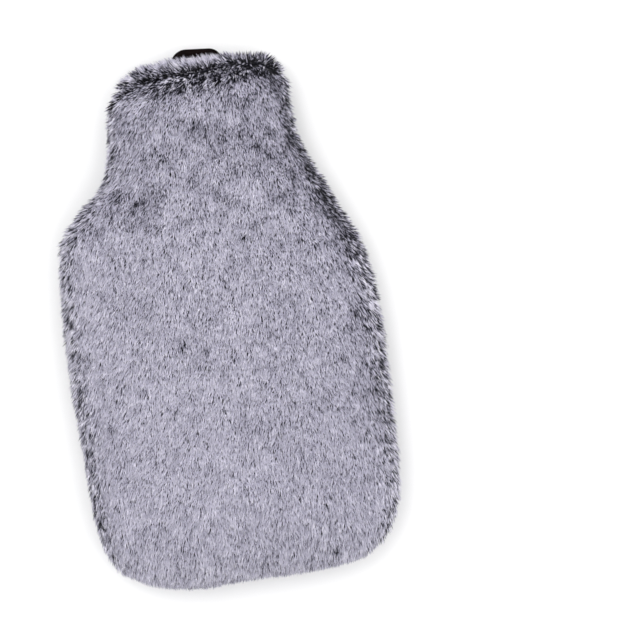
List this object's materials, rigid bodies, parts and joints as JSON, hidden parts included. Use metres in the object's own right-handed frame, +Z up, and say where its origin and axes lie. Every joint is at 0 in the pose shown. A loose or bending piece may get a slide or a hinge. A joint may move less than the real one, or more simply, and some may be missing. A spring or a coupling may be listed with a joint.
{
  "type": "hot water bottle cover",
  "caption": "Bottle-shaped faux fur pouch of two sewn panels, open at the neck, with a tape loop for hanging at its top edge.",
  "frame": {"origin": "middle of the cover's box, on the surface that its back lies on", "axes": "+Y towards the neck and mouth, +X to the right seen from the front, +Z up out of the front"},
  "size_m": [0.2386, 0.3968, 0.0596],
  "materials": {
    "frosted_fur": "long pile, blue-grey roots and frosted silver-lilac tips",
    "black_tape": "soft satin tape"
  },
  "bodies": {
    "root": {"front_panel": "frosted_fur", "back_panel": "frosted_fur", "hanging_loop": "black_tape"}
  },
  "joints": []
}
